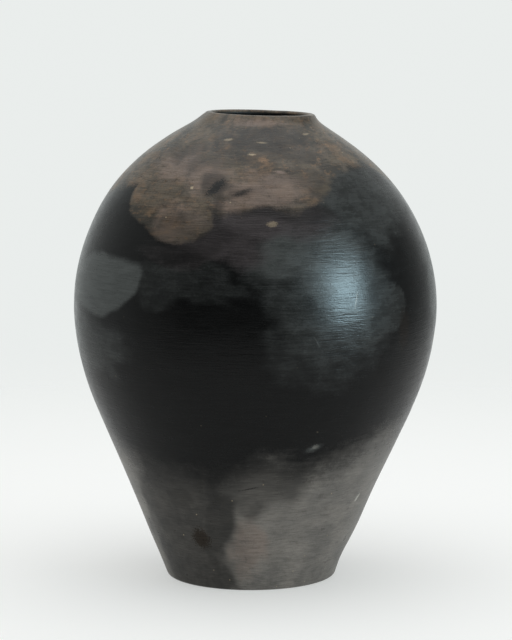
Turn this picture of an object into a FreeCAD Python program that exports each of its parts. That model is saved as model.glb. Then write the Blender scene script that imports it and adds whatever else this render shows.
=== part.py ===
import math
import os

import FreeCAD
import Part
import Sketcher

# A hand-built jar of smoke-fired black clay: one coiled, beaten and burnished wall that rises from a flat
# foot, swells to a high belly, closes over a broad shoulder and ends in a short collar with a rounded lip.
# The base, wall, shoulder and lip are worked together while the clay is wet and fire into one solid, so
# the jar is one node. Frame: +Z up, origin on the ground under the middle of the belly, +X to the side
# that the mouth leans to. Millimetres.

SHEET = "Sizes"

# Each level is a ring of the outer wall: its name, height, radius, and how far its centre wanders along X.
# The wandering is the hand-building: the foot sits to one side of the belly, and the mouth to the other.
LEVELS = [
    ("foot", 0.0, 72.4, -3.3),
    ("heel", 40.0, 89.3, -2.8),
    ("low_wall", 80.0, 106.1, -1.9),
    ("wall", 120.0, 124.2, -1.2),
    ("high_wall", 160.0, 141.2, -0.3),
    ("under_belly", 200.0, 152.2, 0.0),
    ("belly", 237.0, 155.8, 0.0),
    ("over_belly", 275.0, 151.0, 0.0),
    ("low_shoulder", 305.0, 140.1, -0.4),
    ("shoulder", 335.0, 122.6, -1.1),
    ("high_shoulder", 360.0, 99.7, -1.4),
    ("neck_root", 375.0, 80.7, -1.2),
    ("neck", 385.0, 65.5, 0.0),
    ("throat", 391.0, 55.9, 1.5),
    ("collar", 395.5, 50.2, 2.9),
    ("lip", 400.0, 47.0, 3.9),
]

# The collar was set on a little out of level, so its rings tip towards +X by a share of the lip's tilt.
TILT_SHARE = {"neck": 0.3, "throat": 0.6, "collar": 0.85, "lip": 1.0}

SINGLE_SIZES = {
    "lip_tilt": 1.3,
    "wall_thickness": 6.5,
    "foot_round": 4.0,
    "floor_round": 8.0,
    "lip_round": 3.0,
}

# How far an edge may stray from the height it is looked for at.
HEIGHT_MARGIN = 0.5

# A new ring's radius and tilt, until the sheet's values are tied to it.
START_RADIUS = 50.0
START_TILT = 1.0

# The sketcher's numbers for a circle's centre, for the sketch's own axes and for the point where they meet.
CENTRE_POINT = 3
AXES = -1
ROOT_POINT = 1


def make_sheet(doc):
    """The spreadsheet of driving dimensions, one named cell each."""
    sheet = doc.addObject("Spreadsheet::Sheet", SHEET)
    cells = dict(SINGLE_SIZES)
    for name, height, radius, shift in LEVELS:
        cells[name + "_height"] = height
        cells[name + "_radius"] = radius
        cells[name + "_shift"] = shift
    for row, (alias, value) in enumerate(cells.items(), start=1):
        sheet.set(f"A{row}", alias)
        sheet.set(f"B{row}", str(value))
        sheet.setAlias(f"B{row}", alias)
    doc.recompute()
    return sheet


def origin_plane(body, role):
    return next(f for f in body.Origin.OriginFeatures if f.Role == role)


def ring_sketch(body, level):
    """A circle of the outer wall, on the ground plane moved to the level's height, shift and tilt."""
    sketch = body.newObject("Sketcher::SketchObject", level + "_ring")
    sketch.AttachmentSupport = (origin_plane(body, "XY_Plane"), "")
    sketch.MapMode = "FlatFace"
    middle, upright, across = FreeCAD.Vector(0, 0, 0), FreeCAD.Vector(0, 0, 1), FreeCAD.Vector(0, 1, 0)
    circle = sketch.addGeometry(Part.Circle(middle, upright, START_RADIUS), False)
    sketch.addConstraint(Sketcher.Constraint("Coincident", circle, CENTRE_POINT, AXES, ROOT_POINT))
    size = sketch.addConstraint(Sketcher.Constraint("Radius", circle, START_RADIUS))
    sketch.setExpression(f"Constraints[{size}]", f"{SHEET}.{level}_radius")
    sketch.AttachmentOffset = FreeCAD.Placement(middle, FreeCAD.Rotation(across, START_TILT))
    sketch.setExpression("AttachmentOffset.Base.x", f"{SHEET}.{level}_shift")
    sketch.setExpression("AttachmentOffset.Base.z", f"{SHEET}.{level}_height")
    tilt = TILT_SHARE.get(level, 0.0)
    sketch.setExpression("AttachmentOffset.Rotation.Angle", f"{SHEET}.lip_tilt * {tilt}")
    return sketch


def edges_at(shape, low, high):
    """The names of the edges that lie wholly between two heights."""
    found = []
    for number, edge in enumerate(shape.Edges, start=1):
        box = edge.BoundBox
        if box.ZMin > low - HEIGHT_MARGIN and box.ZMax < high + HEIGHT_MARGIN:
            found.append(f"Edge{number}")
    return found


def top_face(shape):
    """The name of the face whose middle stands highest."""
    heights = [face.CenterOfMass.z for face in shape.Faces]
    return f"Face{heights.index(max(heights)) + 1}"


def round_edges(body, name, base, edges, alias):
    """A fillet on some edges of a body's last feature, with its radius in the sheet."""
    fillet = body.newObject("PartDesign::Fillet", name)
    fillet.Base = (base, edges)
    fillet.setExpression("Radius", f"{SHEET}.{alias}")
    body.Tip = fillet
    body.Document.recompute()
    return fillet


def make_pot(doc, sheet):
    """The jar: a loft through the rings, hollowed from the mouth and rounded at the foot, floor and lip."""
    body = doc.addObject("PartDesign::Body", "pot_body")
    body.Label = "pot_body"
    rings = [ring_sketch(body, level[0]) for level in LEVELS]
    doc.recompute()

    swell = body.newObject("PartDesign::AdditiveLoft", "outer_form")
    swell.Profile = rings[0]
    swell.Sections = rings[1:]
    swell.Ruled = False
    body.Tip = swell
    doc.recompute()

    hollow = body.newObject("PartDesign::Thickness", "hollowing")
    hollow.Base = (swell, [top_face(swell.Shape)])
    hollow.setExpression("Value", f"{SHEET}.wall_thickness")
    hollow.Reversed = True
    body.Tip = hollow
    doc.recompute()

    lip_rise = sheet.lip_radius * math.tan(math.radians(sheet.lip_tilt))
    places = {
        "foot": (0.0, 0.0),
        "floor": (sheet.wall_thickness, 0.0),
        "lip": (sheet.lip_height, lip_rise),
    }
    last = hollow
    for place, (height, rise) in places.items():
        edges = edges_at(last.Shape, height - rise, height + rise)
        last = round_edges(body, place + "_rounding", last, edges, place + "_round")
    return body


def check(doc, bodies):
    """Stops if anything failed to compute or a sub-part isn't a valid solid."""
    for thing in doc.Objects:
        if "Invalid" in thing.State or "Error" in thing.State:
            raise RuntimeError(f"{thing.Name} failed: {thing.State}")
    for body in bodies:
        shape = body.Shape
        if shape.isNull() or not shape.isValid() or not shape.Solids:
            raise RuntimeError(f"{body.Label} has no valid solid")
        print(f"{body.Label}: {shape.Volume / 1000:.1f} cm3, box {shape.BoundBox}")


def main():
    doc = FreeCAD.newDocument("clay_pot")
    sheet = make_sheet(doc)
    bodies = [make_pot(doc, sheet)]
    doc.recompute()
    check(doc, bodies)
    os.makedirs("parts", exist_ok=True)
    for body in bodies:
        body.Shape.exportStep(f"parts/{body.Label}.step")


main()
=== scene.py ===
"""The looks of the burnished clay jar: its worked surface, its firing clouds and a plain pale studio.

Everything is in metres in the CAD frame: +Z up, the camera's side at -Y. A place on the jar is given by its
front angle (degrees from the -Y side, growing towards +X) and its height in millimetres.
"""

import math

import bpy
import numpy as np
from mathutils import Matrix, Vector
from mathutils.bvhtree import BVHTree


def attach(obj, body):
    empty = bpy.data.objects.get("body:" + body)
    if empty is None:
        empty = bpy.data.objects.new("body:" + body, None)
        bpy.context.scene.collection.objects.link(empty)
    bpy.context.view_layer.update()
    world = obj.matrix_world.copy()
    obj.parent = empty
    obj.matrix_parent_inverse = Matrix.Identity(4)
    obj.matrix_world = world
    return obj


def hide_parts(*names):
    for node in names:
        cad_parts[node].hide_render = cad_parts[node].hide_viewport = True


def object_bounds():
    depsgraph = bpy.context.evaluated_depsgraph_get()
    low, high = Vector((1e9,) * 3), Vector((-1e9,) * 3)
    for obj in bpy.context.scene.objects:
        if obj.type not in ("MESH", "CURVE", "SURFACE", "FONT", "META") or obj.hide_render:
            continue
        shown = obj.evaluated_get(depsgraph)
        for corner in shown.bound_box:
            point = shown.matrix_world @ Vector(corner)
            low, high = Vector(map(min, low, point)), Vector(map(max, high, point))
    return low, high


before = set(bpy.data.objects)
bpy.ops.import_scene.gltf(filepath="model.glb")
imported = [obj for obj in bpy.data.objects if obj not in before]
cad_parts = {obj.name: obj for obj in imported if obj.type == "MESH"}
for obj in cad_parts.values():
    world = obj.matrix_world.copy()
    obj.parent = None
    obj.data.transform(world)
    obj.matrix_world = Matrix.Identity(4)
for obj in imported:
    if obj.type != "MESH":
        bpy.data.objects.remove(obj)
cad_box = [list(corner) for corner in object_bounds()]

MM = 0.001
FOOT_ROUND = 4.0 * MM
LIP_ROUND = 3.0 * MM
FLOOR_ROUND = 8.0 * MM

# How many points go round the jar, and how far apart its rows are outside and inside.
COLUMNS = 384
OUTER_GAP = 2.65 * MM
INNER_GAP = 8.0 * MM

# The wall turns sharply above the shoulder, so its rings are read closer together there, and its two faces
# are last read just under the rounding of the lip.
SHOULDER = 365 * MM
COARSE_STEP = 14 * MM
FINE_STEP = 4 * MM
OUTER_TOP = 397 * MM
INNER_TOP = 393.5 * MM

# The rings start to tip here, below the collar.
NECK_ROOT = 372 * MM

# Patterns run round a cylinder of this radius, so that they meet behind the jar.
SKIN_RADIUS = 0.13


# ---------------------------------------------------------------- reading the CAD wall

def smooth_curve(xs, ys):
    """A natural cubic spline through the points, as a function of a number or an array."""
    gaps = np.diff(xs)
    slopes = np.diff(ys) / gaps
    count = len(xs)
    system = np.eye(count)
    right = np.zeros(count)
    for i in range(1, count - 1):
        system[i, i - 1:i + 2] = gaps[i - 1], 2 * (gaps[i - 1] + gaps[i]), gaps[i]
        right[i] = 6 * (slopes[i] - slopes[i - 1])
    bends = np.linalg.solve(system, right)

    def curve(x):
        i = np.clip(np.searchsorted(xs, x) - 1, 0, count - 2)
        behind = x - xs[i]
        ahead = xs[i + 1] - x
        cubic = (bends[i] * ahead**3 + bends[i + 1] * behind**3) / (6 * gaps[i])
        low = (ys[i] / gaps[i] - bends[i] * gaps[i] / 6) * ahead
        high = (ys[i + 1] / gaps[i] - bends[i + 1] * gaps[i] / 6) * behind
        return cubic + low + high

    return curve


def fit_circle(points):
    """The centre along X and the radius of the circle that fits some points best."""
    x, y = points[:, 0], points[:, 1]
    rows = np.column_stack([2 * x, 2 * y, np.ones(len(x))])
    centre_x, centre_y, rest = np.linalg.lstsq(rows, x * x + y * y, rcond=None)[0]
    return centre_x, math.sqrt(rest + centre_x**2 + centre_y**2)


class WallFace:
    """The outer or inner face of the CAD wall: its centre along X and its radius at any height."""

    RAYS = 90
    CLEAR = 0.3

    def __init__(self, tree, heights, from_outside):
        rings = np.array([fit_circle(self.hits(tree, z, from_outside)) for z in heights])
        self.centre = smooth_curve(heights, rings[:, 0])
        self.radius = smooth_curve(heights, rings[:, 1])

    def hits(self, tree, height, from_outside):
        axis_point = Vector((0, 0, height))
        found = []
        for turn in np.linspace(0, math.tau, self.RAYS, endpoint=False):
            outward = Vector((math.cos(turn), math.sin(turn), 0))
            if from_outside:
                hit = tree.ray_cast(axis_point + outward * self.CLEAR, -outward)[0]
            else:
                hit = tree.ray_cast(axis_point, outward)[0]
            found.append(hit)
        return np.array(found)

    def lean(self, height):
        """The angle of the wall from upright: positive where it widens with height."""
        step = 0.5 * MM
        rise = self.radius(height + step) - self.radius(height - step)
        return np.arctan2(rise, 2 * step)


def read_wall():
    """The two faces of the CAD wall, the lip's height and slope along X, and the floor's height."""
    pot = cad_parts["pot_body"].data
    tree = BVHTree.FromPolygons([v.co for v in pot.vertices], [p.vertices for p in pot.polygons])

    def levels(bottom, top):
        return np.array([*np.arange(bottom, SHOULDER, COARSE_STEP), *np.arange(SHOULDER, top, FINE_STEP)])

    outer = WallFace(tree, levels(3 * MM, OUTER_TOP + MM), True)
    inner = WallFace(tree, levels(16 * MM, INNER_TOP + MM), False)

    above = cad_box[1][2] + 50 * MM
    crest = (outer.radius(OUTER_TOP) + inner.radius(OUTER_TOP)) / 2
    spots = []
    for turn in np.linspace(0, math.tau, WallFace.RAYS, endpoint=False):
        x = float(outer.centre(OUTER_TOP) + crest * math.cos(turn))
        y = float(crest * math.sin(turn))
        hit = tree.ray_cast(Vector((x, y, above)), Vector((0, 0, -1)))[0]
        spots.append((hit.x, hit.z))
    slope, level = np.polyfit(*np.array(spots).T, 1)
    floor = tree.ray_cast(Vector((0, 0, above)), Vector((0, 0, -1)))[0].z
    return outer, inner, (level, slope), floor


# ---------------------------------------------------------------- the jar's grid of points

def smoothstep(low, high, x):
    t = np.clip((x - low) / (high - low), 0, 1)
    return t * t * (3 - 2 * t)


def evenly(face, low, high, gap):
    """Heights between two levels, spaced evenly along the wall's own curve."""
    fine = np.linspace(low, high, 800)
    radii = face.radius(fine)
    steps = np.hypot(np.diff(fine), np.diff(radii))
    along = np.concatenate([[0], np.cumsum(steps)])
    rows = max(2, round(along[-1] / gap))
    return np.interp(np.linspace(0, along[-1], rows + 1), along, fine)


def build_grid():
    """Rows of points from the foot's middle, up the outside, over the lip and down inside to the floor.

    Returns the columns' turns and, for every row and column, the centre along X, the radius and the height.
    """
    outer, inner, (lip_level, lip_slope), floor = read_wall()
    turns = np.linspace(0, math.tau, COLUMNS, endpoint=False)
    lip_x = outer.centre(OUTER_TOP) + outer.radius(OUTER_TOP) * np.cos(turns)
    lip_top = lip_level + lip_slope * lip_x
    mean_top = lip_top.mean()
    rows = []

    def put(face, radius, height, centre_height=None):
        centre = face.centre(height if centre_height is None else centre_height)
        rows.append([part + np.zeros(COLUMNS) for part in (centre, radius, height)])

    def put_arc(face, wall_height, middle, middle_height, size, angles):
        """A rounding, centred on the wall's centre at one height."""
        for angle in angles:
            put(face, middle + size * np.cos(angle), middle_height + size * np.sin(angle), wall_height)

    def put_wall(face, levels, top):
        """Rows of the wall, which tip with the lip from the neck's root upwards."""
        for level in levels:
            height = level + (lip_top - mean_top) * smoothstep(NECK_ROOT, top, level)
            put(face, face.radius(height), height)

    foot_lean = outer.lean(FOOT_ROUND)
    wall_start = FOOT_ROUND * (1 - math.sin(foot_lean))
    foot_middle = outer.radius(wall_start) - FOOT_ROUND * math.cos(foot_lean)
    for share in (0.25, 0.5, 0.75):
        put(outer, foot_middle * share, 0.0)
    bend = np.linspace(-math.pi / 2, -foot_lean, 6)
    put_arc(outer, wall_start, foot_middle, FOOT_ROUND, FOOT_ROUND, bend)

    tilt = -outer.lean(OUTER_TOP)
    wall_stop = mean_top - LIP_ROUND * (1 - math.sin(tilt))
    put_wall(outer, evenly(outer, wall_start, wall_stop, OUTER_GAP)[1:], wall_stop)
    middle = rows[-1][1] - LIP_ROUND * math.cos(tilt)
    bend = np.linspace(tilt, math.pi / 2, 6)[1:]
    put_arc(outer, rows[-1][2], middle, lip_top - LIP_ROUND, LIP_ROUND, bend)

    tilt = -inner.lean(INNER_TOP)
    inner_stop = lip_top - LIP_ROUND * (1 + math.sin(tilt))
    middle = inner.radius(inner_stop) + LIP_ROUND * math.cos(tilt)
    bend = np.linspace(math.pi / 2, math.pi + tilt, 8)
    put_arc(inner, inner_stop, middle, lip_top - LIP_ROUND, LIP_ROUND, bend)

    floor_lean = inner.lean(floor + FLOOR_ROUND)
    wall_end = floor + FLOOR_ROUND * (1 - math.sin(floor_lean))
    put_wall(inner, evenly(inner, wall_end, inner_stop.mean(), INNER_GAP)[-2::-1], inner_stop.mean())
    floor_middle = rows[-1][1] - FLOOR_ROUND * math.cos(floor_lean)
    bend = np.linspace(-floor_lean, -math.pi / 2, 6)[1:]
    put_arc(inner, wall_end, floor_middle, floor + FLOOR_ROUND, FLOOR_ROUND, bend)
    for share in (0.66, 0.33):
        put(inner, floor_middle * share, floor)
    centre, radius, height = np.array(rows).transpose(1, 0, 2)
    return turns, centre, radius, height


# ---------------------------------------------------------------- places on the jar

class Jar:
    """The grid of points as a surface: where each point is, and how places are found on the outer wall."""

    def __init__(self):
        self.turns, centre, self.radius, self.height = build_grid()
        x = centre + self.radius * np.cos(self.turns)
        y = self.radius * np.sin(self.turns)
        self.points = np.stack([x, y, self.height], axis=2)
        self.rows = len(self.points)
        mean_radius, mean_height = self.radius.mean(1), self.height.mean(1)
        steps = np.hypot(np.diff(mean_radius), np.diff(mean_height))
        self.along = np.concatenate([[0], np.cumsum(steps)])[:, None] + 0 * self.turns
        self.crest = int(mean_height.argmax())
        self.profile = mean_height[:self.crest], mean_radius[:self.crest], self.along[:self.crest, 0]
        self.front = (np.degrees(self.turns) + 270) % 360 - 180

    def along_at(self, height):
        """How far up the outer wall's own curve a height in millimetres lies."""
        return float(np.interp(height * MM, self.profile[0], self.profile[2]))

    def radius_at(self, height):
        return float(np.interp(height * MM, self.profile[0], self.profile[1]))

    def offsets(self, front, height):
        """Every point's distance from a place, round the jar and along its wall."""
        around = np.radians((self.front - front + 180) % 360 - 180) * self.radius
        return around, self.along - self.along_at(height)


def waves(jar, seed, longest, shortest, count=60):
    """Smooth seeded noise over the jar, about -1 to 1, with waves between two lengths in metres."""
    random = np.random.default_rng(seed)
    total = np.zeros_like(jar.along)
    power = 0
    for length in np.geomspace(longest, shortest, count):
        heading = random.uniform(0, math.tau)
        cycles = round(math.tau * SKIN_RADIUS / length * math.cos(heading))
        climb = math.tau / length * math.sin(heading)
        size = length**0.8
        total += size * np.cos(cycles * jar.turns + climb * jar.along + random.uniform(0, math.tau))
        power += size**2 / 2
    return total / (2 * math.sqrt(power))


def rounded(jar, place, warp=(0, 0)):
    """How deep inside a rounded patch each point is, in millimetres: below 0 outside it.

    A place is: front angle, height, half its width, half its height and its turn in degrees, lengths in
    millimetres.
    """
    front, height, wide, tall, turn = place
    around, along = jar.offsets(front, height)
    around, along = (around + warp[0]) / MM, (along + warp[1]) / MM
    angle = math.radians(turn)
    across = (around * math.cos(angle) + along * math.sin(angle)) / wide
    up = (along * math.cos(angle) - around * math.sin(angle)) / tall
    return (1 - np.hypot(across, up)) * min(wide, tall)


def outlined(jar, corners, warp):
    """How deep inside a closed outline each point is, in millimetres: below 0 outside it.

    The outline runs smoothly past its corners, which are given as front angle and height.
    """
    middle = sum(front for front, _ in corners) / len(corners)
    around, _ = jar.offsets(middle, 0)
    points = np.stack([around + warp[0], jar.along + warp[1]], axis=-1) / MM
    line = np.array([[math.radians(front - middle) * jar.radius_at(height), jar.along_at(height)]
                     for front, height in corners]) / MM
    for _ in range(2):
        ahead = np.roll(line, -1, axis=0)
        line = np.stack([0.75 * line + 0.25 * ahead, 0.25 * line + 0.75 * ahead], axis=1).reshape(-1, 2)

    margin = 30
    near = np.all((points > line.min(0) - margin) & (points < line.max(0) + margin), axis=-1)
    inside = np.zeros(near.sum(), bool)
    nearest = np.full(near.sum(), np.inf)
    for start, end in zip(line, np.roll(line, -1, axis=0)):
        reach = end - start
        offset = points[near] - start
        share = np.clip(offset @ reach / (reach @ reach), 0, 1)
        nearest = np.minimum(nearest, np.hypot(*(offset - share[:, None] * reach).T))
        crossed = (offset[:, 1] < 0) != (offset[:, 1] < reach[1])
        inside ^= crossed & ((offset[:, 0] < offset[:, 1] * reach[0] / (reach[1] or 1)))
    depth = np.full(near.shape, -float(margin))
    depth[near] = np.where(inside, nearest, -nearest)
    return depth


def join(clouds):
    """Clouds as one layer: -0.5 at the outer end of a cloud's soft edge and 0.5 at its inner end.

    Each cloud is its strength from 0 to 1, its edge's softness in millimetres, and its depth at each point.
    """
    layer = -3.0
    for strength, softness, depth in clouds:
        layer = np.maximum(layer, np.minimum(depth / softness, strength - 0.5))
    return layer


def wavy_edge(jar, corners):
    """A closed wavy line round the jar through some places, as a height at every column."""
    angles = [corner[0] for corner in corners]
    heights = [corner[1] * MM for corner in corners]
    around = [a - 360 for a in angles] + angles + [a + 360 for a in angles]
    return smooth_curve(np.array(around, float), np.array(heights * 3))(jar.front)


# ---------------------------------------------------------------- firing clouds, a painted highlight glow and worked relief

# Where the pale foot cloud ends above and the brown shoulder cloud ends below: front angle, height.
FOOT_CLOUD_EDGE = [
    (-170, 128), (-130, 112), (-95, 126), (-68, 118), (-53, 104), (-33, 100), (-14, 94),
    (1, 108), (19, 102), (37, 113), (58, 130), (90, 118), (125, 137), (155, 108),
]
SHOULDER_CLOUD_EDGE = [
    (-165, 322), (-130, 338), (-100, 330), (-72, 340), (-57, 343), (-42, 330), (-27, 328), (-13, 325),
    (4, 331), (15, 327), (25, 333), (36, 351), (50, 358), (78, 350), (105, 318), (135, 342), (165, 310),
]

# Outlined clouds: strength, softness in millimetres, corners (front angle, height).
BROWN_OUTLINES = [
    (1.0, 5, [(-58, 350), (-55, 328), (-42, 311), (-31, 301), (-18, 304), (-14, 318), (-17, 345),
              (-35, 360)]),
    (0.9, 12, [(95, 335), (100, 300), (118, 282), (138, 300), (140, 340)]),
    (0.8, 10, [(-128, 345), (-125, 312), (-108, 300), (-95, 318), (-96, 345)]),
    (0.9, 14, [(165, 330), (172, 282), (188, 270), (205, 300), (200, 335)]),
]
# Haze clouds are matte grey firing clouds; the small second lobe beside the window's highlight is a painted
# highlight glow.
HAZE_AND_GLOW_OUTLINES = [
    (1.0, 6, [(-86, 268), (-72, 286), (-56, 287), (-44, 285), (-38, 281), (-38, 265), (-41, 252),
              (-49, 241), (-62, 236), (-76, 244)]),
    # Painted highlight glow: the second lobe of the window's reflection.
    (0.4, 4, [(41, 262), (47, 266), (52, 260), (54, 244), (50, 228), (42, 224), (39, 244)]),
    (0.7, 22, [(66, 262), (84, 300), (112, 292), (126, 256), (118, 222), (96, 238), (78, 226)]),
    (0.7, 20, [(-156, 262), (-134, 284), (-106, 268), (-94, 232), (-112, 206), (-136, 226), (-150, 214)]),
    (0.65, 26, [(140, 236), (160, 266), (190, 258), (206, 220), (186, 184), (164, 204), (148, 196)]),
]

# Rounded clouds: strength, softness, (front angle, height, half width, half height, turn).
ROSY_SPOTS = [
    (1.0, 14, (5, 343, 34, 14, 0)),
    (0.8, 14, (-22, 353, 16, 16, 20)),
    (0.9, 6, (-9, 330, 12, 6, -10)),
    (0.5, 20, (-29, 318, 20, 14, 0)),
    (1.0, 5, (2, 394, 20, 4, 0)),
    (0.8, 20, (-40, 360, 22, 16, 0)),
    (0.9, 16, (126, 328, 30, 18, 0)),
    (0.8, 20, (-150, 338, 36, 16, 0)),
    (0.8, 14, (-2, 42, 12, 26, 0)),
    (0.6, 20, (150, 60, 26, 34, 0)),
]
PURPLE_SPOTS = [
    (1.0, 16, (2, 316, 54, 17, 0)),
    (0.8, 16, (-10, 300, 30, 12, -10)),
    (0.8, 20, (150, 322, 40, 18, 0)),
    (0.4, 16, (-24, 292, 26, 7, 0)),
]
# Matte haze clouds, and round the window's highlight a painted glow of that highlight.
HAZE_AND_GLOW_SPOTS = [
    (0.75, 22, (12, 291, 34, 17, 0)),
    (0.65, 30, (22, 286, 40, 30, 0)),
    # Painted highlight glow round the window's highlight.
    (0.44, 44, (26, 258, 48, 44, 0)),
    (0.5, 40, (46, 332, 40, 28, 0)),
    (0.28, 24, (-22, 268, 34, 11, 0)),
    # Painted highlight glow below the window's highlight.
    (0.24, 50, (24, 222, 36, 26, 0)),
    (0.45, 40, (118, 190, 40, 24, 20)),
    (0.45, 40, (-90, 200, 34, 24, -10)),
    (0.4, 30, (-62, 210, 30, 14, 0)),
    (0.6, 34, (-86, 262, 34, 26, 10)),
    (0.35, 40, (-164, 170, 60, 26, 8)),
]
SOOT_SPOTS = [
    (0.66, 7, (-17, 347, 11, 13, 25)),
    (0.55, 5, (-5, 341, 9, 4, 15)),
    (0.55, 8, (12, 324, 34, 5, -4)),
    (0.6, 6, (-13, 328, 4, 14, 0)),
    (0.7, 9, (53, 228, 8, 17, 0)),
    (0.78, 20, (-38, 50, 42, 100, 0)),
    (0.9, 24, (-35, 86, 24, 18, 0)),
    (0.92, 22, (-18, 62, 16, 80, -8)),
    (0.6, 30, (1, 98, 32, 26, 0)),
    (0.45, 24, (-27, 304, 34, 13, 0)),
    (0.8, 16, (6, 380, 40, 16, 0)),
    (0.9, 8, (6, 387, 26, 8, 0)),
    (0.45, 18, (24, 350, 14, 9, 0)),
    (0.5, 14, (-22, 366, 20, 9, 20)),
    (0.45, 10, (24, 389, 16, 6, 0)),
    (0.45, 10, (-24, 389, 14, 6, 0)),
    (0.6, 14, (18, 372, 22, 8, -15)),
    (0.5, 14, (-4, 368, 26, 8, 10)),
    (0.6, 14, (-38, 372, 18, 7, 15)),
    (0.7, 16, (96, 300, 14, 26, 10)),
    (0.7, 14, (-146, 330, 16, 12, 30)),
    (0.7, 24, (112, 66, 16, 50, 6)),
    (0.7, 20, (-122, 50, 22, 60, -6)),
]

# Small dents and scars in the wall: depth in millimetres, softness, the spot.
DENTS = [
    (0.45, 5, (22.4, 130, 7, 4, 20)),
    (0.5, 2.5, (58, 76.5, 3.5, 2, 60)),
    (0.3, 6, (-27.5, 47, 7, 9, 0)),
    (0.25, 6, (-16.5, 345, 5, 7, 20)),
    (0.4, 5, (101, 150, 7, 4, -25)),
    (0.4, 5, (-141, 92, 6, 4, 30)),
]


def paint_clouds(jar):
    """The firing clouds as layers, and in the haze layer a painted glow round the window's highlight: a
    cloud's edge is at 0, and the layer grows inwards.
    """
    warp = [3 * MM * waves(jar, seed, 0.07, 0.012) for seed in (11, 12)]
    foot_depth = (wavy_edge(jar, FOOT_CLOUD_EDGE) - jar.height + warp[1]) / MM
    shoulder_depth = (jar.height - wavy_edge(jar, SHOULDER_CLOUD_EDGE) + warp[0]) / MM

    def bend(softness):
        """Soft clouds wander more than crisp ones."""
        return [min(softness / 8, 3) * part for part in warp]

    def outlines(clouds):
        return [(strength, soft, outlined(jar, corners, bend(soft))) for strength, soft, corners in clouds]

    def spots(clouds):
        return [(strength, soft, rounded(jar, place, bend(soft))) for strength, soft, place in clouds]

    return {
        "brown": join([(1.0, 9, shoulder_depth), *outlines(BROWN_OUTLINES)]),
        "rosy": join(spots(ROSY_SPOTS)),
        "purple": join(spots(PURPLE_SPOTS)),
        "haze_and_glow": join([*outlines(HAZE_AND_GLOW_OUTLINES), *spots(HAZE_AND_GLOW_SPOTS)]),
        "ash": join([(1.0, 50, foot_depth)]),
        "soot": join(spots(SOOT_SPOTS)),
        "inside": (np.arange(jar.rows)[:, None] - jar.crest - 4.0) + 0 * jar.along,
    }


def shape_relief(jar):
    """How far each point stands out from the CAD wall: paddle marks, scraping and finger-worked lip."""
    outside = np.arange(jar.rows)[:, None] < jar.crest
    paddled = 0.30 * MM * waves(jar, 21, 0.22, 0.06)
    scraped = 0.05 * MM * waves(jar, 22, 0.05, 0.016)
    near_lip = smoothstep(0.380, 0.394, jar.height)
    pinched = 0.16 * MM * waves(jar, 23, 0.12, 0.04)
    inside = 0.5 * MM * waves(jar, 24, 0.12, 0.03)
    relief = np.where(outside, paddled + scraped, inside)
    relief += (pinched - relief) * near_lip - 0.2 * MM
    for depth, softness, place in DENTS:
        relief -= depth * MM * smoothstep(-softness / 2, softness / 2, rounded(jar, place)) * outside
    off_floor = smoothstep(1 * MM, 14 * MM, jar.height)
    return relief * off_floor


# ---------------------------------------------------------------- the jar's mesh

def link(name, data):
    made = bpy.data.objects.new(name, data)
    bpy.context.scene.collection.objects.link(made)
    return made


def grid_faces(rows):
    """Quads between neighbouring rows, and a fan at each end round a middle point."""
    ahead = np.roll(np.arange(COLUMNS), -1)
    faces = []
    for row in range(rows - 1):
        low, high = row * COLUMNS, (row + 1) * COLUMNS
        faces += [(low + i, low + j, high + j, high + i) for i, j in enumerate(ahead)]
    under, top = rows * COLUMNS, (rows - 1) * COLUMNS
    faces += [(under, j, i) for i, j in enumerate(ahead)]
    faces += [(under + 1, top + i, top + j) for i, j in enumerate(ahead)]
    return faces


def with_ends(layer):
    """A grid layer as one list, with the foot's and the floor's middle points after it."""
    ends = [layer[0].mean(0), layer[-1].mean(0)]
    return np.concatenate([layer.reshape(-1, *layer.shape[2:]), ends])


def make_pot(jar):
    """The jar as one closed mesh, with what its material reads stored at each point."""
    mesh = bpy.data.meshes.new("burnished_pot")
    mesh.from_pydata(with_ends(jar.points).tolist(), [], grid_faces(jar.rows))
    mesh.shade_smooth()
    normals = np.array([v.normal for v in mesh.vertices])
    worked = with_ends(jar.points) + normals * with_ends(shape_relief(jar))[:, None]
    mesh.vertices.foreach_set("co", worked.astype(np.float32).ravel())
    mesh.update()

    around = SKIN_RADIUS * np.array([np.cos(jar.turns), np.sin(jar.turns)])
    skin = np.stack([around[0] + 0 * jar.along, around[1] + 0 * jar.along, jar.along], axis=2)
    stored = mesh.attributes.new("skin", "FLOAT_VECTOR", "POINT")
    stored.data.foreach_set("vector", with_ends(skin).astype(np.float32).ravel())
    for name, layer in paint_clouds(jar).items():
        stored = mesh.attributes.new(name, "FLOAT", "POINT")
        stored.data.foreach_set("value", with_ends(layer).astype(np.float32))
    return link("burnished_pot", mesh)


# ---------------------------------------------------------------- the clay

class Nodes:
    """A node tree, with short calls for adding nodes and feeding them."""

    def __init__(self, tree):
        self.tree = tree

    def feed(self, socket, value):
        if isinstance(value, bpy.types.NodeSocket):
            self.tree.links.new(value, socket)
        else:
            socket.default_value = value

    def node(self, kind, inputs, output=0, **settings):
        made = self.tree.nodes.new(kind)
        for name, value in settings.items():
            setattr(made, name, value)
        for name, value in inputs.items():
            self.feed(made.inputs[name], value)
        return made.outputs[output]

    def math(self, operation, *values):
        return self.node("ShaderNodeMath", dict(enumerate(values)), operation=operation)

    def vector(self, operation, *values, output=0):
        return self.node("ShaderNodeVectorMath", dict(enumerate(values)), output, operation=operation)


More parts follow.
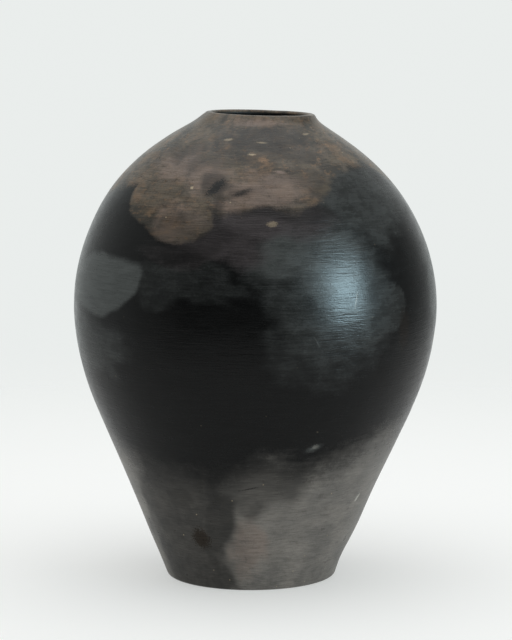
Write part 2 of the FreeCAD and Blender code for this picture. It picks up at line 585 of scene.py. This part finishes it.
class Paint(Nodes):
    """A material's node tree, with calls for the patterns that this scene needs."""

    def __init__(self, name):
        self.material = bpy.data.materials.new(name)
        self.material.use_nodes = True
        super().__init__(self.material.node_tree)
        self.shader = self.tree.nodes["Principled BSDF"]

    def blend(self, *weighted):
        """The sum of values, each times its weight."""
        total = 0.0
        for value, weight in weighted:
            total = self.math("MULTIPLY_ADD", value, weight, total)
        return total

    def stored(self, name, output="Fac"):
        return self.node("ShaderNodeAttribute", {}, output, attribute_name=name)

    def noise(self, space, sizes, detail=2.0, roughness=0.5):
        """Noise from 0 to 1 whose cells have these sizes, in metres, round the jar and along its wall."""
        around, along = sizes
        scaled = self.vector("MULTIPLY", space, (1 / around, 1 / around, 1 / along))
        inputs = {"Vector": scaled, "Scale": 1.0, "Detail": detail, "Roughness": roughness}
        return self.node("ShaderNodeTexNoise", inputs)

    def ramp(self, value, low, high, bottom=0.0, top=1.0):
        inputs = {"Value": value, "From Min": low, "From Max": high, "To Min": bottom, "To Max": top}
        return self.node("ShaderNodeMapRange", inputs, interpolation_type="SMOOTHSTEP")

    def mix(self, share, below, above, mode="MIX"):
        made = self.tree.nodes.new("ShaderNodeMix")
        made.data_type = "RGBA"
        made.blend_type = mode
        for place, value in {0: share, 6: below, 7: above}.items():
            self.feed(made.inputs[place], value)
        return made.outputs[2]

    def specks(self, space, spacing, size, share):
        """Scattered round specks: 1 inside a speck. share is how many of the cells hold one."""
        cells = self.tree.nodes.new("ShaderNodeTexVoronoi")
        self.feed(cells.inputs["Vector"], space)
        cells.inputs["Scale"].default_value = 1 / spacing
        draw = self.node("ShaderNodeSeparateColor", {"Color": cells.outputs["Color"]})
        chosen = self.math("GREATER_THAN", draw, 1 - share)
        near = self.ramp(cells.outputs["Distance"], size / spacing, 0.5 * size / spacing)
        return self.math("MULTIPLY", chosen, near)

    def mark(self, jar, skin, place, softness, fray):
        """One small spot, 1 inside it. Its place reads as in rounded(); softness is in millimetres."""
        front, height, wide, tall, turn = place
        heading = math.radians(front - 90)
        centre = (SKIN_RADIUS * math.cos(heading), SKIN_RADIUS * math.sin(heading), jar.along_at(height))
        stretch = jar.radius_at(height) / SKIN_RADIUS
        around = Vector((-math.sin(heading), math.cos(heading), 0)) * stretch / MM
        outward = Vector((math.cos(heading), math.sin(heading), 0)) * stretch / MM
        up = Vector((0, 0, 1)) / MM
        angle = math.radians(turn)
        offset = self.vector("SUBTRACT", skin, centre)
        axes = {
            "X": (around * math.cos(angle) + up * math.sin(angle)) / wide,
            "Y": (up * math.cos(angle) - around * math.sin(angle)) / tall,
            "Z": outward / (wide + tall),
        }
        parts = {name: self.vector("DOT_PRODUCT", offset, axis, output=1) for name, axis in axes.items()}
        far = self.vector("LENGTH", self.node("ShaderNodeCombineXYZ", parts), output=1)
        edge = softness / min(wide, tall) / 2
        return self.ramp(self.math("ADD", far, fray), 1 + edge, 1 - edge)


SOOT_BLACK = (0.0048, 0.0050, 0.0050, 1)
BROWN_CLAY = (0.108, 0.090, 0.070, 1)
OLIVE_CLAY = (0.041, 0.037, 0.030, 1)
ORANGE_CLAY = (0.210, 0.130, 0.075, 1)
ROSY_CLAY = (0.205, 0.155, 0.128, 1)
PURPLE_CLAY = (0.050, 0.044, 0.045, 1)
# Grey of the matte haze clouds, also used as a painted glow round the window's highlight.
HAZE_AND_GLOW_GREY = (0.068, 0.074, 0.072, 1)
ASH_GREY = (0.200, 0.188, 0.170, 1)
ASH_DARK = (0.140, 0.134, 0.124, 1)
RUST_DARK = (0.020, 0.014, 0.009, 1)
OCHRE_CLAY = (0.120, 0.095, 0.065, 1)
INNER_BLACK = (0.009, 0.0085, 0.008, 1)
TAN_SPECK = (0.42, 0.34, 0.23, 1)
PALE_SPECK = (0.40, 0.39, 0.35, 1)

# Single marks that the noise can't stand in for, painted in this order: colour, strength, softness in
# millimetres, (front angle, height, half width, half height, turn).
MARKS = [
    (SOOT_BLACK, 1.0, 1.2, (-15.3, 345, 4.4, 8.4, -38)),
    (SOOT_BLACK, 0.8, 3.0, (-4.5, 341, 6.5, 2.2, 24)),
    (TAN_SPECK, 0.42, 1.4, (6.3, 317, 4.0, 2.2, 4)),
    (RUST_DARK, 0.4, 5.0, (52.5, 225, 7.0, 15.0, 0)),
    (TAN_SPECK, 0.5, 1.6, (-17, 381, 3.2, 1.4, 8)),
    (TAN_SPECK, 0.5, 1.6, (5, 379, 3.6, 1.0, -6)),
    (TAN_SPECK, 0.7, 1.2, (-1, 370, 2.8, 1.2, 0)),
    (ORANGE_CLAY, 0.9, 2.4, (5, 366, 4.0, 2.6, -10)),
    (ROSY_CLAY, 0.9, 1.6, (12, 356.5, 4.0, 1.6, -8)),
    (TAN_SPECK, 0.9, 1.0, (-26, 344, 1.3, 1.3, 0)),
    (TAN_SPECK, 0.5, 1.4, (41, 385, 3.6, 1.2, 10)),
    (PALE_SPECK, 1.0, 0.8, (58, 76.6, 1.6, 3.6, -30)),
    (PALE_SPECK, 0.5, 0.5, (32.1, 254, 0.5, 6.0, -14)),
    (HAZE_AND_GLOW_GREY, 0.9, 0.5, (18.9, 222, 0.5, 4.5, 30)),
    (SOOT_BLACK, 0.8, 0.5, (-1.6, 95, 8.0, 0.5, 14)),
    (RUST_DARK, 0.95, 4.0, (-27.5, 47, 7.5, 10.0, 10)),
    (HAZE_AND_GLOW_GREY, 0.7, 4.0, (22.4, 130, 5.6, 2.4, 22)),
    (PALE_SPECK, 0.25, 2.0, (23.0, 131, 2.4, 1.6, 20)),
]


def clay_material(jar):
    """Burnished clay: carbon black, clouded brown on the shoulder and grey near the foot."""
    paint = Paint("burnished_clay")
    skin = paint.stored("skin", "Vector")
    drift = paint.noise(skin, (0.06, 0.03), 1)
    raised = paint.node("ShaderNodeCombineXYZ", {"Z": paint.math("MULTIPLY", drift, 0.008)})
    swept = paint.vector("ADD", skin, raised)
    strokes = paint.noise(swept, (0.014, 0.0011), 2, 0.6)
    bands = paint.noise(swept, (0.045, 0.0035), 3, 0.6)
    mottle = paint.noise(skin, (0.012, 0.009), 5, 0.65)
    blotch = paint.noise(skin, (0.040, 0.022), 4, 0.6)
    grain = paint.noise(skin, (0.0014, 0.0011), 2, 0.6)
    fray = paint.blend((mottle, 1.1), (bands, 0.5), (grain, 0.45), (1.0, -1.02))

    def cover(name, ragged=1.0):
        """A stored layer as how much it covers, with its edge frayed by the mottling."""
        return paint.ramp(paint.blend((paint.stored(name), 1.0), (fray, ragged)), -0.5, 0.5)

    brown, ash, haze_and_glow = cover("brown"), cover("ash", 0.4), cover("haze_and_glow", 0.35)
    rosy, purple, soot = cover("rosy"), cover("purple", 0.6), cover("soot", 0.5)

    clouded = paint.mix(paint.ramp(blotch, 0.38, 0.58), OLIVE_CLAY, BROWN_CLAY)
    # Patches over the brown, in this order: the noise's space, cell sizes, detail and roughness, the noise
    # levels between which the patch comes in, its strength and its colour.
    patches = [
        (swept, (0.030, 0.010), 4, 0.6, (0.46, 0.66), 0.60, OCHRE_CLAY),
        (skin, (0.008, 0.0042), 5, 0.7, (0.50, 0.74), 0.85, ORANGE_CLAY),
        (skin, (0.030, 0.016), 3, 0.6, (0.50, 0.68), 0.40, ORANGE_CLAY),
        (swept, (0.007, 0.0030), 4, 0.7, (0.50, 0.72), 0.75, OLIVE_CLAY),
    ]
    for space, sizes, detail, roughness, (low, high), strength, tint in patches:
        patch = paint.ramp(paint.noise(space, sizes, detail, roughness), low, high, 0.0, strength)
        clouded = paint.mix(patch, clouded, tint)
    clouded = paint.mix(paint.math("MULTIPLY", rosy, 0.68), clouded, ROSY_CLAY)
    ashen = paint.mix(paint.ramp(blotch, 0.3, 0.7), ASH_GREY, ASH_DARK)
    ashen = paint.mix(paint.math("MULTIPLY", rosy, 0.5), ashen, ROSY_CLAY)
    # Haze grey over the black: matte firing clouds, and round the window's highlight a painted highlight
    # glow.
    colour = paint.mix(haze_and_glow, SOOT_BLACK, HAZE_AND_GLOW_GREY)
    colour = paint.mix(purple, colour, PURPLE_CLAY)
    colour = paint.mix(ash, colour, ashen)
    colour = paint.mix(brown, colour, clouded)
    colour = paint.mix(paint.math("MULTIPLY", soot, 0.8), colour, SOOT_BLACK)
    pale = paint.math("MAXIMUM", brown, ash)
    speckled = paint.blend((pale, 0.48), (1.0, 0.12))
    freckles = paint.math("MULTIPLY", paint.specks(skin, 0.010, 0.0009, 0.16), speckled)
    colour = paint.mix(freckles, colour, TAN_SPECK)
    ragged = paint.blend((grain, 2.4), (mottle, 0.8), (1.0, -1.6))
    for tint, strength, softness, place in MARKS:
        spot = paint.mark(jar, skin, place, softness, ragged)
        colour = paint.mix(paint.math("MULTIPLY", spot, strength), colour, tint)
    uneven = paint.blend((strokes, 0.4), (bands, 0.2), (grain, 0.2), (mottle, 0.2))
    shade = paint.ramp(uneven, 0.35, 0.65, 0.76, 1.24)
    inside = paint.ramp(paint.stored("inside"), 0, 2)
    colour = paint.mix(inside, colour, INNER_BLACK)
    colour = paint.vector("SCALE", colour)
    paint.feed(colour.node.inputs["Scale"], shade)
    paint.feed(paint.shader.inputs["Base Color"], colour)

    rough = paint.blend(
        (strokes, 0.10), (mottle, 0.26), (haze_and_glow, 0.07), (pale, 0.08), (inside, 0.4), (1.0, 0.06))
    paint.feed(paint.shader.inputs["Roughness"], rough)
    relief = paint.blend((strokes, 1.3), (bands, 1.0), (grain, 0.5), (mottle, 1.2))
    bump = paint.node("ShaderNodeBump", {"Strength": 1.0, "Distance": 0.00014, "Height": relief})
    paint.feed(paint.shader.inputs["Normal"], bump)
    paint.shader.inputs["IOR"].default_value = 1.45
    paint.shader.inputs["Specular IOR Level"].default_value = 0.21
    return paint.material


# ---------------------------------------------------------------- studio

def aim(thing, target):
    """Turns a lamp or camera so that its -Z axis points at the target."""
    thing.rotation_euler = (Vector(target) - thing.location).to_track_quat("-Z", "Y").to_euler()


CAMERA_PLACE = (0.0007, -2.343, 0.5273)
CAMERA_DOWNWARDS = 7.44
LENS = 154.4
SENSOR = 36.0

BACKDROP = (0.822, 0.850, 0.838, 1)
FLOOR_HALF = 6.0
FLOOR_FADE = (0.35, 1.6)
FLOOR_GLOW, FLOOR_GLOW_MIRRORED = 0.44, 0.17
EVEN_LIGHT = 0.42

# The window: where on the belly it points, which way it lies from there, how far off, and its colour.
BELLY = Vector((0.075, -0.134, 0.26))
WINDOW_SIDE = Vector((0.853, -0.502, 0.143))
WINDOW_DISTANCE = 2.0
WINDOW_BLUE = (0.60, 0.88, 1.0)
VEIL_BLUE = (0.66, 0.90, 1.0)
SPILL_BLUE = (0.85, 0.95, 1.0)


def make_camera():
    """The photograph's view: from a little above the mouth, far away, tipped slightly down."""
    camera = link("camera", bpy.data.cameras.new("camera"))
    camera.data.lens = LENS
    camera.data.sensor_width = SENSOR
    camera.location = CAMERA_PLACE
    camera.rotation_euler = (math.radians(90 - CAMERA_DOWNWARDS), 0, 0)
    bpy.context.scene.camera = camera


def make_floor():
    """A pale floor that glows a little, less so in reflections, and fades out with distance."""
    mesh = bpy.data.meshes.new("floor")
    corners = [(x * FLOOR_HALF, y * FLOOR_HALF, 0) for x, y in ((-1, -1), (1, -1), (1, 1), (-1, 1))]
    mesh.from_pydata(corners, [], [(0, 1, 2, 3)])
    floor = link("floor", mesh)
    paint = Paint("pale_floor")
    paint.shader.inputs["Base Color"].default_value = (0.55, 0.55, 0.545, 1)
    paint.shader.inputs["Roughness"].default_value = 0.9
    paint.shader.inputs["Specular IOR Level"].default_value = 0.0
    paint.shader.inputs["Emission Color"].default_value = (0.98, 1.0, 0.985, 1)
    mirrored = paint.node("ShaderNodeLightPath", {}).node.outputs["Is Glossy Ray"]
    glow = paint.ramp(mirrored, 0, 1, FLOOR_GLOW, FLOOR_GLOW_MIRRORED)
    paint.feed(paint.shader.inputs["Emission Strength"], glow)
    place = paint.node("ShaderNodeTexCoord", {}, "Object")
    far = paint.ramp(paint.vector("LENGTH", place, output=1), *FLOOR_FADE)
    clear = paint.node("ShaderNodeBsdfTransparent", {})
    joined = paint.node("ShaderNodeMixShader", {0: far, 1: paint.shader.outputs[0], 2: clear})
    paint.feed(paint.tree.nodes["Material Output"].inputs["Surface"], joined)
    mesh.materials.append(paint.material)


def add_lamp(name, place, target, width, height, watts, colour=(1, 1, 1)):
    """A rectangular lamp that points at the target."""
    lamp = bpy.data.lights.new(name, "AREA")
    lamp.shape = "RECTANGLE"
    lamp.size, lamp.size_y = width, height
    lamp.energy = watts
    lamp.color = colour
    made = link(name, lamp)
    made.location = place
    aim(made, target)
    return made


# What the jar mirrors of the room: the angle round from the camera's side, and how bright the room is there.
ROOM = [
    (-180, 0.85), (-158, 0.80), (-138, 0.56), (-112, 0.56), (-88, 0.58), (-66, 0.36), (-48, 0.08),
    (30, 0.05), (80, 0.26), (118, 0.26), (134, 0.36), (150, 0.62), (165, 0.85), (180, 0.85),
]


def make_room():
    """The world: a plain pale backdrop, an even light, and a room that only reflections see."""
    world = bpy.data.worlds.new("studio")
    bpy.context.scene.world = world
    world.use_nodes = True
    sky = Nodes(world.node_tree)
    direction = sky.node("ShaderNodeTexCoord", {}, "Generated")
    facing = sky.node("ShaderNodeSeparateXYZ", {0: direction}).node.outputs
    angle = sky.math("ARCTAN2", facing["X"], sky.math("MULTIPLY", facing["Y"], -1.0))
    turn = sky.node("ShaderNodeMapRange", {"Value": angle, "From Min": -math.pi, "From Max": math.pi})
    ramp = sky.node("ShaderNodeValToRGB", {"Fac": turn})
    stops = ramp.node.color_ramp.elements
    for spare in list(stops)[1:]:
        stops.remove(spare)
    for index, (degrees, level) in enumerate(ROOM):
        share = (degrees + 180) / 360
        stop = stops[0] if index == 0 else stops.new(share)
        stop.position = share
        stop.color = (level, level, level, 1)
    mirrored = sky.node("ShaderNodeBackground", {"Color": (0.95, 1.0, 0.99, 1), "Strength": ramp})
    even = sky.node("ShaderNodeBackground", {"Color": (0.97, 1.0, 0.99, 1), "Strength": EVEN_LIGHT})
    seen = sky.node("ShaderNodeBackground", {"Color": BACKDROP})
    path = sky.node("ShaderNodeLightPath", {}).node.outputs
    lit = sky.node("ShaderNodeMixShader", {0: path["Is Glossy Ray"], 1: even, 2: mirrored})
    shown = sky.node("ShaderNodeMixShader", {0: path["Is Camera Ray"], 1: lit, 2: seen})
    sky.feed(sky.tree.nodes["World Output"].inputs["Surface"], shown)


def make_lights():
    """A broad overhead light, and a cool window to the right.

    The window and its soft veil show only in the burnish. The spill also lights the clay.
    """
    add_lamp("overhead", (0, 0.1, 2.2), (0, 0, 0), 2.6, 2.6, 34)
    place = BELLY + WINDOW_DISTANCE * WINDOW_SIDE
    window = add_lamp("window", place + Vector((0, 0, 0.10)), BELLY, 0.62, 0.74, 50, WINDOW_BLUE)
    window.visible_diffuse = False
    veil = add_lamp("window_veil", place + Vector((0, 0, 0.16)), BELLY, 1.2, 1.4, 27, VEIL_BLUE)
    veil.visible_diffuse = False
    add_lamp("window_spill", place, BELLY, 0.95, 1.15, 6, SPILL_BLUE)


make_camera()
make_floor()
make_room()
make_lights()
bpy.context.scene.view_settings.view_transform = "Standard"

jar = Jar()
pot = make_pot(jar)
pot.data.materials.append(clay_material(jar))
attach(pot, "root")
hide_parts("pot_body")
